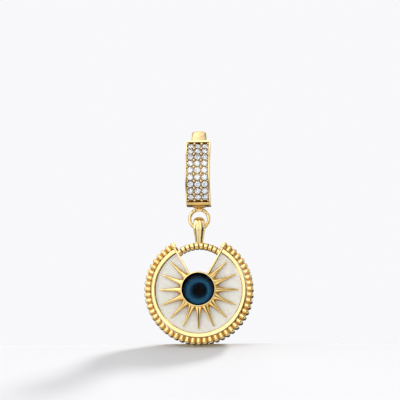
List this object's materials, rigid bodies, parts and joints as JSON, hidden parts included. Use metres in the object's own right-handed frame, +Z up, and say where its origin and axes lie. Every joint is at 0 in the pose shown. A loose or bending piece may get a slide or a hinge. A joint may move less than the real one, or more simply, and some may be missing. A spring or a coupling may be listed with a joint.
{
  "type": "evil eye pendant",
  "caption": "Gold pendant: stone-set bail hoop, ring and swinging fluted medallion with a sunburst round a blue glass eye on mother-of-pearl.",
  "frame": {"origin": "inside top of the bail hoop, where the pendant hangs on its chain", "axes": "+Z up along the chain's pull, +X to the wearer's left (the viewer's right), -Y out of the front, where the eye faces"},
  "size_m": [0.0162, 0.008, 0.0322],
  "materials": {
    "gold": "polished 18 karat yellow gold",
    "diamond": "clear cut stone",
    "mother_of_pearl": "polished shell with a faint pink and green sheen",
    "blue_glass": "domed and polished",
    "blue_enamel": "steel blue, glossy",
    "black_enamel": "black, glossy"
  },
  "bodies": {
    "hoop": {"bail": "gold", "pave_stone_1_1": "diamond", "pave_stone_1_2": "diamond", "pave_stone_1_3": "diamond", "pave_stone_2_1": "diamond", "pave_stone_2_2": "diamond", "pave_stone_2_3": "diamond", "pave_stone_3_1": "diamond", "pave_stone_3_2": "diamond", "pave_stone_3_3": "diamond", "pave_stone_4_1": "diamond", "pave_stone_4_2": "diamond", "pave_stone_4_3": "diamond", "pave_stone_5_1": "diamond", "pave_stone_5_2": "diamond", "pave_stone_5_3": "diamond", "pave_stone_6_1": "diamond", "pave_stone_6_2": "diamond", "pave_stone_6_3": "diamond", "pave_stone_7_1": "diamond", "pave_stone_7_2": "diamond", "pave_stone_7_3": "diamond", "pave_stone_8_1": "diamond", "pave_stone_8_2": "diamond", "pave_stone_8_3": "diamond", "pave_stone_9_1": "diamond", "pave_stone_9_2": "diamond", "pave_stone_9_3": "diamond"},
    "medallion": {"fluted_frame": "gold", "inlay_tray": "gold", "pearl_inlay": "mother_of_pearl", "sunburst": "gold", "glass_eye": "blue_glass", "eye_iris": "blue_enamel", "eye_pupil": "black_enamel"}
  },
  "joints": [
    {"name": "medallion_swing", "type": "hinge", "parent": "hoop", "child": "medallion", "pos_m": [0, 0, -0.01398], "axis": [1, 0, 0], "range_deg": [-90, 90]}
  ]
}
